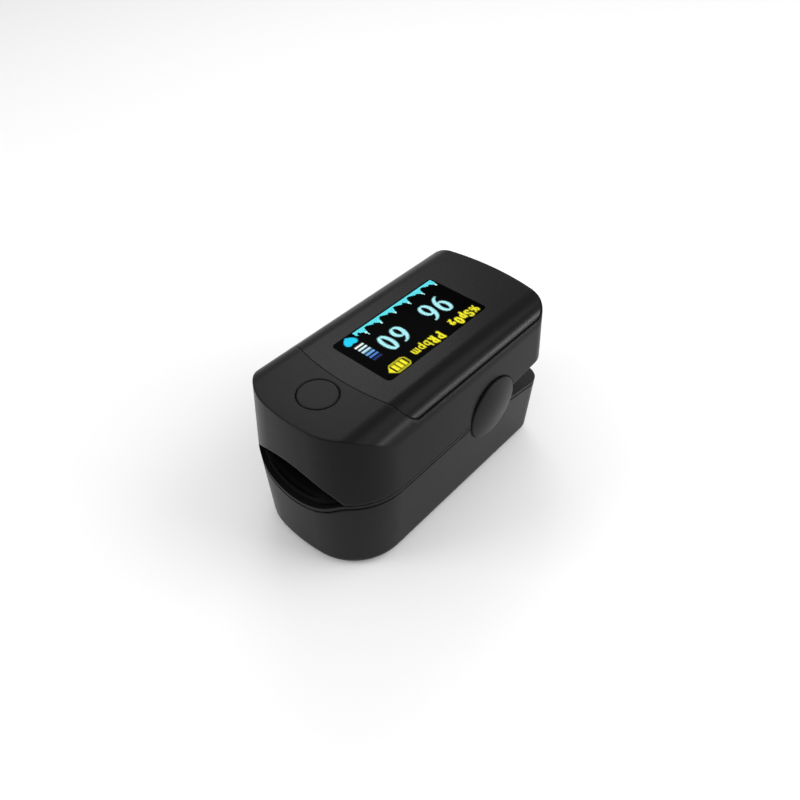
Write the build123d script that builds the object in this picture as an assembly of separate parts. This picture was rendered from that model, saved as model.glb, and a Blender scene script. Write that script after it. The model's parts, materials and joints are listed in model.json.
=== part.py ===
from build123d import *
from math import radians, sqrt, tan
import os

# Fingertip pulse oximeter. Millimetres, +Z up, finger opening at -Y, squeeze end at +Y.
# The origin is the middle of the resting base.

# Overall shape, measured at the parting line
length = 64.0
width = 34.0
height = 37.2
parting_z = 20.65           # top of the lower half's lip
front_radius = 41.8         # bow of the front end in plan
rear_radius = 54.7
front_corner_radius = 13.1
rear_corner_radius = 5.1
upper_draft = 3.3           # degrees, the walls lean in above the parting line
lower_draft = 2.9           # degrees, and below it
shoulder_radius = 5.6       # roll along the two long top edges
base_fillet = 2.6
wall = 1.6
clearance = 0.12            # between pieces that are fitted together
running = 0.05              # radial, pins and other turning fits
board_thickness = 1.0

# Finger opening and the squeeze gap
lip_height = 0.75
groove_height = 0.40
parting_gap = 0.20
trough_radius = 18.0        # lower edge of the opening
trough_depth = 4.0
trough_blend = 4.0
arch_radius = 15.0          # upper edge of the opening
arch_rise = 5.80
stop_y = 5.5                # the finger stops here, and the squeeze gap starts here
lower_slope = 10.5          # degrees, the lower deck falls away to the rear
upper_slope = 5.6           # degrees, the upper half rises to the rear
frame_plate = 1.0
frame_seat = 0.1            # the upper frame's arch stands this far above the shell's own arch
pad_margin = 1.0
pad_inner_radius = 12.0
pad_thickness = 1.55
upper_pad_inner_radius = 10.5

# Hinge
hinge_y = 10.0
hinge_z = 20.75
pin_radius = 1.5
pin_inner_x = 7.0
cap_radius = 7.15
cap_sink = 0.6              # depth of the round pocket that the cap sits in
cap_skin = 0.8              # from the end of the pin to the cap's inner face
cap_rim = 0.75
cap_edge = 0.32             # rounding of the rim
cap_dome = 0.9
cap_flat = 0.3              # radius of the flat spot in the middle of the dome
spigot_radius = 3.2
notch_gap = 0.4
lower_ear_x = 12.6
ear_thickness = 1.6
ear_radius = 4.2
upper_ear_radius = 3.6
ear_gap = 0.4
spring_wire = 0.6
spring_turns = 3.5
spring_gap = 0.15
spring_leg = 5.8

# Display cover, lens and module
cover_thickness = 1.2
cover_side_inset = 0.36     # shell strip left outside the cover
cover_front_y = -17.13
cover_front_radius = 52.6
cover_seat_z = 32.4
cover_corner = 3.0
seam = 0.13
window_y = 3.55
window_length = 30.1
window_width = 15.3
window_corner = 1.0
lens_flange = 1.0
module_length = 34.5
module_width = 23.0
module_thickness = 1.5
module_gap = 0.3

# Power button and switch
button_y = -22.55
button_radius = 3.95
button_thickness = 1.6
button_flange = 0.8
button_gap = 0.10
button_travel = 0.35
switch_size = 6.0
switch_height = 2.0
plunger_radius = 1.6

# Boards and sensor
main_board_z = 29.6
main_board_width = 26.0
main_board_front = -28.0
main_board_rear = 26.5
sensor_y = -9.0
sensor_window = 5.0
sensor_board_z = 14.0
sensor_board_width = 13.6
ribbon_width = 6.0
ribbon_thickness = 0.25

# Two AAA cells and their bay
cell_radius = 5.25
cell_length = 44.5
cell_nub = 0.8
cell_nub_radius = 1.9
cell_gap = 0.35
contact_thickness = 0.4
spring_room = 2.6
bay_y = 1.5
bay_wall = 1.0
door_width = 22.8
door_front = -23.3
door_tab_height = 4.2
rail_thickness = 0.8
rail_reach = 1.0
rail_gap = 0.15
rail_front = -20.0
rail_rear = 14.0

# Screws, M1.7
screw_radius = 0.85
screw_head_radius = 1.6
screw_head_height = 1.1
screw_length = 8.0
boss_radius = 2.0
boss_top_z = 8.0
lower_screws = [(-7.5, -25.6), (7.5, -25.6)]
upper_screws = [(-12.3, -16.0), (12.3, -16.0), (-12.3, 22.5), (12.3, 22.5)]

far = 100.0
upper_lean = tan(radians(upper_draft))
lower_lean = tan(radians(lower_draft))
lip_z = parting_z - lip_height
shell_edge_drop = lip_height + groove_height
door_thickness = wall - 0.1
parting_top = parting_z + parting_gap
trough_z = parting_z - trough_depth
trough_centre_z = trough_z + trough_radius
arch_centre_z = parting_top + arch_rise - arch_radius
cell_z = wall + 0.25 + cell_radius
cell_x = cell_radius + cell_gap / 2 + 0.15
bay_length = cell_length + spring_room + 2 * contact_thickness
bay_half_width = cell_x + cell_radius + cell_gap
bay_top = cell_z + cell_radius + cell_gap
frame_foot = bay_top + bay_wall + 0.3
ribbon_half = ribbon_width / 2 + 0.4
lens_top = height - 0.05
cover_under = height - cover_thickness
shell_top_under = cover_under - 0.05 - frame_plate
upper_ear_x = lower_ear_x - ear_gap - ear_thickness
spring_radius = pin_radius + spring_gap + spring_wire / 2
spring_x = pin_inner_x + 0.1 + spring_wire / 2
spring_end_x = spring_x + spring_turns * (spring_wire + spring_gap)
lower_seat_z = door_thickness + 1.5
cap_x = width / 2 - cap_sink
flange_top = height - button_thickness


def box(x0, x1, y0, y1, z0, z1):
    return Pos((x0 + x1) / 2, (y0 + y1) / 2, (z0 + z1) / 2) * Box(x1 - x0, y1 - y0, z1 - z0)


def both_sides(piece):
    return piece + mirror(piece, about=Plane.YZ)


def rod(x0, x1, radius, y=hinge_y, z=hinge_z):
    return Pos((x0 + x1) / 2, y, z) * Rot(0, 90, 0) * Cylinder(radius, x1 - x0)


def post(x, y, z0, z1, radius):
    return Pos(x, y, (z0 + z1) / 2) * Cylinder(radius, z1 - z0)


# Height of the seats for the upper screws, which follow the sloping underside
def upper_seat(y):
    return parting_top + max(0, y - stop_y) * tan(radians(upper_slope)) + 2.4


# Plan outline of the body: two straight sides, two bowed ends, rounded corners
def outline(inset):
    side = width / 2 - inset
    front = front_radius - inset
    rear = rear_radius - inset
    front_y = inset - length / 2
    rear_y = length / 2 - inset
    front_side_y = front_y + front - sqrt(front**2 - side**2)
    rear_side_y = rear_y - rear + sqrt(rear**2 - side**2)
    edges = [
        ThreePointArc((-side, front_side_y), (0, front_y), (side, front_side_y)),
        Line((side, front_side_y), (side, rear_side_y)),
        ThreePointArc((side, rear_side_y), (0, rear_y), (-side, rear_side_y)),
        Line((-side, rear_side_y), (-side, front_side_y)),
    ]
    face = make_face(edges)
    face = fillet(face.vertices().group_by(Axis.Y)[0], front_corner_radius - inset)
    return fillet(face.vertices().group_by(Axis.Y)[-1], max(rear_corner_radius - inset, 0.6))


# Drafted block of the lower half, between two heights
def lower_block(inset, z0, z1):
    low = Pos(0, 0, z0) * outline(inset + (parting_z - z0) * lower_lean)
    high = Pos(0, 0, z1) * outline(inset + (parting_z - z1) * lower_lean)
    return loft([low, high], ruled=True)


# The upper half seen from the front, endless to front and rear: leaning sides and rolled shoulders
def side_profile(inset, z0):
    top = height - inset
    low_x = width / 2 - inset - (z0 - parting_z) * upper_lean
    top_x = width / 2 - inset - (top - parting_z) * upper_lean
    side = Polygon((-low_x, z0), (low_x, z0), (top_x, top), (-top_x, top), align=None)
    side = fillet(side.vertices().group_by(Axis.Y)[-1], shoulder_radius - inset)
    return extrude(Plane.XZ * side, far, both=True)


# Drafted block of the upper half with its rolled shoulders
def upper_block(inset, z0):
    top = height - inset
    low = Pos(0, 0, z0) * outline(inset + (z0 - parting_z) * upper_lean)
    high = Pos(0, 0, top) * outline(inset + (top - parting_z) * upper_lean)
    return loft([low, high], ruled=True) & side_profile(inset, z0)


# Everything under the lower half's top surface, lowered by drop
def under_deck(drop):
    edge_z = parting_z - drop
    radius = trough_radius + drop
    reach = sqrt(radius**2 - (trough_centre_z - edge_z)**2)
    lines = [
        Polyline((reach, edge_z), (far, edge_z), (far, -far), (-far, -far), (-far, edge_z), (-reach, edge_z)),
        ThreePointArc((-reach, edge_z), (0, trough_centre_z - radius), (reach, edge_z)),
    ]
    section = make_face(lines)
    corners = section.vertices().filter_by(lambda v: abs(abs(v.X) - reach) < 0.01)
    section = fillet(corners, trough_blend - drop)
    front = Pos(0, stop_y, 0) * extrude(Plane.XZ * section, far)
    fall = far * tan(radians(lower_slope))
    slope = Polygon((stop_y, -far), (stop_y, edge_z), (stop_y + far, edge_z - fall),
                    (stop_y + far, -far), align=None)
    return front + extrude(Plane.YZ * slope, far, both=True)


# Everything over the upper half's bottom surface, raised by lift
def over_arch(lift):
    edge_z = parting_top + lift
    radius = arch_radius + lift
    reach = sqrt(radius**2 - (edge_z - arch_centre_z)**2)
    lines = [
        Polyline((reach, edge_z), (far, edge_z), (far, far), (-far, far), (-far, edge_z), (-reach, edge_z)),
        ThreePointArc((-reach, edge_z), (0, arch_centre_z + radius), (reach, edge_z)),
    ]
    front = Pos(0, stop_y, 0) * extrude(Plane.XZ * make_face(lines), far)
    rise = far * tan(radians(upper_slope))
    slope = Polygon((stop_y, far), (stop_y, edge_z), (stop_y + far, edge_z + rise),
                    (stop_y + far, far), align=None)
    return front + extrude(Plane.YZ * slope, far, both=True)


# Room for the caps and their spigots in the side walls
def hinge_notch():
    pocket = rod(cap_x - clearance, width, cap_radius + clearance)
    return both_sides(rod(lower_ear_x, width, spigot_radius + notch_gap) + pocket)


# Room for the ears, pins and springs of the hinge in the two inner frames
def hinge_window(reach, z0, z1, x1):
    x0 = pin_inner_x - ear_gap
    return both_sides(box(x0, x1, hinge_y - reach, hinge_y + reach, z0, z1))


def door_shape(gap):
    half = door_width / 2 + gap
    inner_rear = length / 2 - parting_z * lower_lean - wall + gap
    plate = box(-half, half, door_front - gap, length, -1, door_thickness + gap)
    tab = box(-half, half, inner_rear - 2 * gap, length, -1, door_tab_height + gap)
    return plate + tab


def lower_outside():
    block = lower_block(0, 0, parting_z)
    return fillet(block.faces().sort_by(Axis.Z)[0].edges(), base_fillet)


def make_lower_shell():
    shell = lower_outside() & under_deck(shell_edge_drop)
    cavity = lower_block(wall, wall, parting_z + 1)
    cavity = fillet(cavity.faces().sort_by(Axis.Z)[0].edges(), base_fillet - wall)
    room = lower_block(wall / 2, 0, parting_z)
    bosses = [post(x, y, 0, boss_top_z, boss_radius) & room for x, y in lower_screws]
    shell = shell - cavity - door_shape(clearance) + bosses
    for x, y in lower_screws:
        shell -= post(x, y, -1, lower_seat_z, screw_head_radius + clearance)
        shell -= post(x, y, 2, lip_z, screw_radius + clearance)
    return shell - hinge_notch() - door_shape(clearance)


def make_lower_frame():
    skin = lower_block(0, 4, parting_z)
    plate = skin & (under_deck(0) - under_deck(lip_height))
    room = lower_block(wall + clearance, boss_top_z - 1, parting_z) & under_deck(0)
    stop = room & box(-far, far, stop_y, stop_y + frame_plate, trough_z - lip_height, parting_z)
    skirt_inner = lower_block(wall + clearance + frame_plate, boss_top_z - 2, parting_z + 1)
    skirt = (room - skirt_inner) & box(-far, far, -far, far, frame_foot, far)
    pillars = [post(x, y, boss_top_z + clearance, parting_z, boss_radius - clearance) & room
               for x, y in lower_screws]
    frame = plate + stop + skirt + pillars
    frame -= hinge_window(ear_radius + ear_gap, 0, parting_z + 5, lower_ear_x)
    frame -= hinge_notch()
    ear = rod(lower_ear_x, lower_ear_x + ear_thickness, ear_radius)
    web_reach = ear_radius - 0.5
    web = box(lower_ear_x, lower_ear_x + ear_thickness, hinge_y - web_reach, hinge_y + web_reach,
              frame_foot, hinge_z)
    ledge_top = hinge_z - spring_radius - spring_wire / 2 - 0.02
    ledge = box(pin_inner_x, pin_inner_x + 1.6, hinge_y + spring_leg - 2, hinge_y + spring_leg + 0.6,
                frame_foot, ledge_top)
    ledge_room = box(pin_inner_x - 0.2, pin_inner_x + 1.8, hinge_y, hinge_y + spring_leg + 0.8,
                     ledge_top, parting_z + 1)
    frame = frame - both_sides(ledge_room)
    frame += both_sides(ear + web + ledge)
    frame -= both_sides(rod(upper_ear_x, width, pin_radius))
    hole = sensor_window / 2
    frame -= box(-hole, hole, sensor_y - hole, sensor_y + hole, sensor_board_z, parting_z)
    frame -= box(-ribbon_half, ribbon_half, 9.6, 12.4, 0, parting_z)
    for x, y in lower_screws:
        frame -= post(x, y, boss_top_z - 1, lower_seat_z + screw_length + 0.5, screw_radius + 0.01)
    return frame


# Half width of the trough at the parting line
def trough_reach():
    return sqrt(trough_radius**2 - (trough_centre_z - parting_z)**2)


# Soft lining of the lower trough, with a window for the sensor
def make_lower_pad():
    seat_radius = trough_radius - 0.06
    top = parting_z - 0.1
    room = lower_block(pad_margin, trough_z - 1, parting_z)
    bed = Pos(0, -far / 2 + stop_y - 0.1, trough_centre_z) * Rot(90, 0, 0) * Cylinder(seat_radius, far)
    bed = bed & room & box(-far, far, -far, far, 0, top)
    inner_z = trough_z + pad_thickness + pad_inner_radius
    finger = Pos(0, -far / 2 + stop_y - 2.2, inner_z) * Rot(90, 0, 0) * Cylinder(pad_inner_radius, far)
    hole = sensor_window / 2
    window = box(-hole, hole, sensor_y - hole, sensor_y + hole, 0, parting_z)
    flats = both_sides(box(trough_reach() - 0.7, far, -far, far, 0, far))
    return bed - finger - window - flats


def make_upper_pad():
    bottom = parting_top + 0.1
    seat_radius = arch_radius + frame_seat - 0.06
    room = upper_block(pad_margin, parting_top)
    bed = Pos(0, -far / 2 + stop_y - 0.1, arch_centre_z) * Rot(90, 0, 0) * Cylinder(seat_radius, far)
    bed = bed & room & box(-far, far, -far, far, bottom, far)
    inner_z = arch_centre_z + arch_radius + frame_seat - pad_thickness - upper_pad_inner_radius
    finger = Pos(0, -far / 2 + stop_y - 2.2, inner_z) * Rot(90, 0, 0) * Cylinder(upper_pad_inner_radius, far)
    hole = sensor_window / 2
    window = box(-hole, hole, sensor_y - hole, sensor_y + hole, 0, far)
    lining = upper_block(wall + clearance, parting_top)
    return (bed & lining) - finger - window


def make_upper_frame():
    skin = upper_block(wall + clearance, parting_top) & box(-far, far, -far, far, 0, main_board_z - 1.2)
    plate = skin & (over_arch(frame_seat) - over_arch(frame_seat + frame_plate))
    arch_top = arch_centre_z + arch_radius + frame_seat + frame_plate
    stop = box(-width / 2, width / 2, stop_y, stop_y + frame_plate, parting_top, arch_top) & skin
    inner = upper_block(wall + clearance + frame_plate, parting_top)
    skirt = (skin - inner) & over_arch(frame_seat) & box(-far, far, -far, far, 0, parting_top + 3.5)
    posts = [post(x, y, parting_top, main_board_z - 1.2, boss_radius - 0.2) & skin for x, y in upper_screws]
    frame = plate + (stop & over_arch(frame_seat)) + skirt + [p & over_arch(frame_seat) for p in posts]
    frame -= hinge_window(ear_radius + ear_gap, parting_top - 1, arch_top, width)
    frame -= both_sides(box(lower_ear_x - ear_gap, width, hinge_y - 6.6, hinge_y + 6.6, 0, arch_top))
    ear = rod(upper_ear_x, upper_ear_x + ear_thickness, upper_ear_radius)
    web = box(upper_ear_x, upper_ear_x + ear_thickness, stop_y + 0.1, hinge_y + 5.6, hinge_z, hinge_z + 3.4)
    leg_z = hinge_z + spring_radius + spring_wire / 2 + 0.02
    hook_x = spring_end_x - spring_wire
    ear_x = upper_ear_x + 0.2
    leg_room = box(hook_x, ear_x, hinge_y, hinge_y + spring_leg + 0.4, hinge_z, leg_z)
    hook = box(hook_x, ear_x, hinge_y + spring_leg - 2, hinge_y + spring_leg + 1.6, leg_z, leg_z + 1.4)
    hook += box(hook_x, ear_x, hinge_y + spring_leg + 0.5, hinge_y + spring_leg + 1.6, hinge_z, leg_z + 0.2)
    frame = frame - both_sides(leg_room) + both_sides(ear + ((web + hook) & over_arch(frame_seat)))
    frame -= both_sides(rod(pin_inner_x - ear_gap, width, pin_radius + running))
    hole = sensor_window / 2
    frame -= box(-hole, hole, sensor_y - hole, sensor_y + hole, 0, far)
    frame -= box(-ribbon_half, ribbon_half, 10.4, 13.2, 0, far)
    for x, y in upper_screws:
        frame -= post(x, y, 0, upper_seat(y), screw_head_radius + clearance)
        frame -= post(x, y, 0, far, screw_radius + clearance)
    return frame


# Plan of the display cover, grown by gap for the recess that it sits in
def cover_outline(gap):
    inset = (height - parting_z) * upper_lean + cover_side_inset - gap
    plan = outline(inset)
    half = width / 2
    centre_y = cover_front_y + cover_front_radius
    edge_y = centre_y - sqrt(cover_front_radius**2 - half**2)
    front = [
        ThreePointArc((-half, edge_y - gap), (0, cover_front_y - gap), (half, edge_y - gap)),
        Polyline((half, edge_y - gap), (half, length), (-half, length), (-half, edge_y - gap)),
    ]
    plan = plan & make_face(front)
    return fillet(plan.vertices().group_by(Axis.Y)[0], cover_corner + gap)


def cover_space(gap):
    column = extrude(Pos(0, 0, cover_seat_z - gap) * cover_outline(gap), height)
    return column - side_profile(cover_thickness + gap, cover_seat_z - 5)


def rounded_plate(half_x, half_y, corner, y, z0, z1):
    return extrude(Pos(0, y, z0) * RectangleRounded(2 * half_x, 2 * half_y, corner), z1 - z0)


def make_upper_shell():
    outside = upper_block(0, parting_z)
    shell = outside & over_arch(0)
    thick = cover_thickness + 0.05 + frame_plate
    hollow = upper_block(wall, parting_z - 1)
    cavity = hollow & side_profile(thick, parting_z - 1)
    cavity += hollow & box(-far, far, -far, far, 0, cover_seat_z - frame_plate)
    room = upper_block(wall / 2, parting_z)
    bosses = [post(x, y, main_board_z - 1.2, height - thick + 0.6, boss_radius - 0.2) & room
              for x, y in upper_screws]
    shell = shell - cavity + bosses
    shell -= cover_space(seam)
    half_x = window_width / 2 + lens_flange + clearance
    half_y = window_length / 2 + lens_flange + clearance
    shell -= rounded_plate(half_x, half_y, 1.2, window_y, parting_z + 4, height)
    shell -= post(0, button_y, main_board_z, height + 1, button_radius + button_gap)
    for x, y in upper_screws:
        shell -= post(x, y, main_board_z - 2, upper_seat(y) + screw_length + 0.5, screw_radius + 0.01)
    rim = shell.edges().filter_by(GeomType.CIRCLE).filter_by_position(Axis.Z, height - 0.01, height + 0.01)
    rim = rim.filter_by(lambda e: abs(e.radius - button_radius - button_gap) < 0.01)
    return chamfer(rim, 0.12) - hinge_notch()


def make_display_cover():
    cover = upper_block(0, cover_seat_z - 2) & cover_space(0)
    window = rounded_plate(window_width / 2, window_length / 2, window_corner, window_y,
                           cover_seat_z, height + 1)
    return cover - window


def make_display_lens():
    half_x = window_width / 2
    half_y = window_length / 2
    top = rounded_plate(half_x - 0.03, half_y - 0.03, window_corner, window_y, cover_under - 0.06, lens_top)
    flange = rounded_plate(half_x + lens_flange, half_y + lens_flange, 1.2, window_y,
                           cover_under - 0.06 - 0.8, cover_under - 0.06)
    return top + flange


def make_oled_module():
    top = shell_top_under - module_gap
    glass = box(-module_width / 2, module_width / 2, window_y - module_length / 2,
                window_y + module_length / 2, top - module_thickness, top)
    return fillet(glass.edges().filter_by(Axis.Z), 0.4)


# Frame that carries the display module over the main board
def make_display_holder():
    top = shell_top_under - module_gap - module_thickness
    board_top = main_board_z + board_thickness
    outer = box(-module_width / 2, module_width / 2, window_y - module_length / 2,
                window_y + module_length / 2, board_top, top)
    inner = box(-module_width / 2 + 1.4, module_width / 2 - 1.4, window_y - module_length / 2 + 1.4,
                window_y + module_length / 2 - 1.4, board_top - 1, top + 1)
    slot = box(-5.5, 5.5, window_y - module_length / 2 - 1, window_y - module_length / 2 + 2,
               board_top - 1, top + 1)
    return fillet((outer - inner - slot).edges().filter_by(Axis.Z).group_by(Axis.Y)[-1], 0.6)


def make_display_ribbon():
    y0 = window_y - module_length / 2
    z1 = shell_top_under - module_gap - module_thickness - 0.2
    z0 = main_board_z + board_thickness + 0.6
    path = FilletPolyline((y0 + 3, z1), (y0 - 1.0, z1), (y0 - 1.0, z0), (y0 + 2.4, z0), radius=0.6)
    return Pos(-5, 0, 0) * extrude(Plane.YZ * trace(path, ribbon_thickness), 10)


def make_main_board():
    half = main_board_width / 2
    plate = box(-half, half, main_board_front, main_board_rear, main_board_z, main_board_z + board_thickness)
    plate = fillet(plate.edges().filter_by(Axis.Z), 1.5)
    inside = upper_block(wall + 0.5, main_board_z - 1)
    plate = plate & inside
    for x, y in upper_screws:
        plate -= post(x, y, 0, far, boss_radius - 0.2 + clearance)
    return plate


def make_chip(size, thickness, x, y, z, legs):
    body = Pos(x, y, z + 0.15 + thickness / 2) * Box(size, size, thickness)
    pitch = size / (legs + 1)
    for turn in (0, 90, 180, 270):
        row = [Pos(size / 2 + 0.3, -size / 2 + pitch * (k + 1), 0.15) * Box(0.8, pitch * 0.45, 0.3)
               for k in range(legs)]
        body += [Pos(x, y, z) * Rot(0, 0, turn) * leg for leg in row]
    return body


def make_tact_switch():
    z0 = main_board_z + board_thickness
    body = Pos(0, button_y, z0 + switch_height / 2) * Box(switch_size, switch_size, switch_height)
    body = chamfer(body.edges().filter_by(Axis.Z), 0.6)
    return body - post(0, button_y, z0 + 0.6, far, plunger_radius + running)


def make_power_button():
    cap = post(0, button_y, flange_top, height, button_radius)
    cap = chamfer(cap.edges().sort_by(Axis.Z)[-1], 0.12)
    under = height - cover_thickness - 0.05 - frame_plate
    flange = post(0, button_y, under - 0.9, under - 0.1, button_radius + button_flange)
    stem_end = main_board_z + board_thickness + switch_height + 0.5
    stem = post(0, button_y, stem_end, flange_top + 0.2, 1.8)
    neck = post(0, button_y, under - 0.2, flange_top + 0.1, button_radius)
    return cap + neck + flange + stem


def make_plunger():
    z0 = main_board_z + board_thickness
    return post(0, button_y, z0 + 0.6 + button_travel + 0.1, z0 + switch_height + 0.5, plunger_radius)


def make_sensor_window(z0, z1):
    hole = sensor_window / 2 - 0.05
    return box(-hole, hole, sensor_y - hole, sensor_y + hole, z0, z1)


def make_sensor_board():
    half = sensor_board_width / 2
    reach = bay_length / 2 + 1
    plate = box(-half, half, bay_y - reach, bay_y + reach, sensor_board_z, sensor_board_z + 0.8)
    return fillet(plate.edges().filter_by(Axis.Z), 1.0)


def make_photodetector():
    body = box(-1.8, 1.8, sensor_y - 1.4, sensor_y + 1.4, sensor_board_z + 0.8, sensor_board_z + 1.6)
    return chamfer(body.edges().group_by(Axis.Z)[-1], 0.15)


def make_emitter_board():
    z0 = arch_centre_z + arch_radius + frame_seat + frame_plate + 0.05
    plate = box(-4.5, 4.5, sensor_y - 4, sensor_y + 4, z0 + 0.1, z0 + 0.9)
    pins = [post(x, sensor_y + 3.2, z0 + 0.5, main_board_z, 0.25) for x in (-2, 0, 2)]
    return plate, pins, z0


def make_battery_holder():
    x1 = bay_half_width
    half_y = bay_length / 2
    outer = box(-x1 - bay_wall, x1 + bay_wall, -half_y - bay_wall, half_y + bay_wall,
                door_thickness + 1.4, bay_top + bay_wall)
    inner = box(-x1, x1, -half_y, half_y, 0, bay_top)
    rib = box(-0.4, 0.4, -half_y + 6, half_y - 6, cell_z + 4, bay_top + 0.2)
    holder = outer - inner + rib
    slots = [box(side * cell_x - 1.4, side * cell_x + 1.4, end - 0.5, end + 0.5, bay_top - 0.1, far)
             for side in (-1, 1) for end in (-half_y, half_y)]
    return Pos(0, bay_y, 0) * (holder - slots)


def make_cell(side, turn):
    body = Cylinder(cell_radius, cell_length - cell_nub)
    body = fillet(body.edges(), 0.5)
    nub = Pos(0, 0, cell_length / 2) * Cylinder(cell_nub_radius, cell_nub)
    nub = fillet(nub.edges().sort_by(Axis.Z)[-1], 0.3)
    y = bay_y + side * spring_room / 2
    return Pos(side * cell_x, y, cell_z) * Rot(90 * turn, 0, 0) * Pos(0, 0, -cell_nub / 2) * (body + nub)


# Flat contact against a cell's nub, with a tail up to the sensor board
def contact_plate(side, end):
    y1 = bay_y + end * bay_length / 2
    y0 = y1 - end * contact_thickness
    x = side * cell_x
    low, high = min(y0, y1), max(y0, y1)
    plate = box(x - 3.8, x + 3.8, low, high, cell_z - 3.6, bay_top - 0.2)
    tail = box(x - 1.2, x + 1.2, low, high, bay_top - 0.5, sensor_board_z)
    return plate + tail


# The rear contact joins the two cells in series
def contact_bridge():
    y1 = bay_y + bay_length / 2
    strap = box(-cell_x - 3.8, cell_x + 3.8, y1 - contact_thickness, y1, cell_z - 2, cell_z + 2)
    return contact_plate(-1, 1) + contact_plate(1, 1) + strap


# Coil that presses on a cell's flat end
def contact_coil(side, end):
    wire = 0.25
    start = bay_y + end * (bay_length / 2 - contact_thickness - wire)
    rise = spring_room - 2 * wire - 0.05
    path = Helix(rise / 2.5, rise, 2.6)
    coil = sweep(Plane(path @ 0, z_dir=path % 0) * Circle(wire), path=path)
    return Pos(side * cell_x, start, cell_z) * Rot(90 * end, 0, 0) * coil


def make_battery_door():
    plate = lower_outside() & door_shape(0)
    half = door_width / 2
    rail_z = wall + rail_gap
    rail = box(half - 1.2, half + rail_reach, rail_front, rail_rear, rail_z, rail_z + rail_thickness)
    foot = box(half - 1.2, half, rail_front, rail_rear, door_thickness - 0.2, rail_z + 0.1)
    ridges = [box(-5, 5, 18.4 + 1.6 * k, 19.1 + 1.6 * k, -1, 0.3) for k in range(4)]
    return plate + both_sides(rail + foot) - ridges


# Domed cap turned about the hinge axis, with a hollow spigot for the pin
def make_hinge_cap():
    x0 = cap_x
    x1 = x0 + cap_rim
    bore_end = x0 - cap_skin
    spigot_x = lower_ear_x + ear_thickness + 0.2
    sphere = (cap_radius**2 + cap_dome**2) / (2 * cap_dome)
    mid_x = x1 + cap_dome - sphere + sqrt(sphere**2 - (cap_radius / 2)**2)
    tip_x = x1 + cap_dome - sphere + sqrt(sphere**2 - cap_flat**2)
    lines = [
        Polyline((tip_x, cap_flat), (tip_x, 0), (bore_end, 0), (bore_end, pin_radius), (spigot_x, pin_radius),
                 (spigot_x, spigot_radius), (x0, spigot_radius), (x0, cap_radius), (x1, cap_radius)),
        ThreePointArc((x1, cap_radius), (mid_x, cap_radius / 2), (tip_x, cap_flat)),
    ]
    section = make_face(lines)
    rim = section.vertices().sort_by_distance((x1, cap_radius, 0))[0]
    return Pos(0, hinge_y, hinge_z) * revolve(fillet(rim, cap_edge), Axis.X)


def make_hinge_pin():
    return rod(pin_inner_x, cap_x - cap_skin, pin_radius)


# Closes the jaws at the front by pushing their rear ends apart
def make_torsion_spring():
    pitch = spring_wire + spring_gap
    rise = spring_turns * pitch
    helix = Helix(pitch, rise, spring_radius, lefthand=True)
    coil = sweep(Plane(helix @ 0, z_dir=helix % 0) * Circle(spring_wire / 2), path=helix)
    coil = Pos(spring_x, hinge_y, hinge_z) * Rot(0, 90, 0) * coil
    leg = Pos(0, hinge_y + spring_leg / 2, hinge_z) * Rot(90, 0, 0) * Cylinder(spring_wire / 2, spring_leg)
    low = Pos(spring_x, 0, -spring_radius) * leg
    high = Pos(spring_end_x, 0, spring_radius) * leg
    return [coil, low, high]


# Ribbon between the two halves: it passes beside the hinge axis
def make_ribbon():
    z0 = sensor_board_z + 0.8 + ribbon_thickness / 2
    z1 = main_board_z - ribbon_thickness / 2
    path = FilletPolyline((6.0, z0), (11.0, z0), (11.8, z1), (17.0, z1), radius=1.5)
    return Pos(-ribbon_width / 2, 0, 0) * extrude(Plane.YZ * trace(path, ribbon_thickness), ribbon_width)


def make_screw(x, y, head_z):
    head = post(x, y, head_z - screw_head_height, head_z, screw_head_radius)
    shank = post(x, y, head_z, head_z + screw_length, screw_radius)
    screw = fillet(head.edges().sort_by(Axis.Z)[0], 0.3) + shank
    for turn in (0, 90):
        screw -= Pos(x, y, head_z - screw_head_height) * Rot(0, 0, turn) * Box(1.8, 0.35, 1.0)
    return screw


def save(name, piece):
    export_step(piece, f"parts/{name}.step")


os.makedirs("parts", exist_ok=True)

emitter_plate, emitter_pins, emitter_z = make_emitter_board()
board_top = main_board_z + board_thickness

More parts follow.
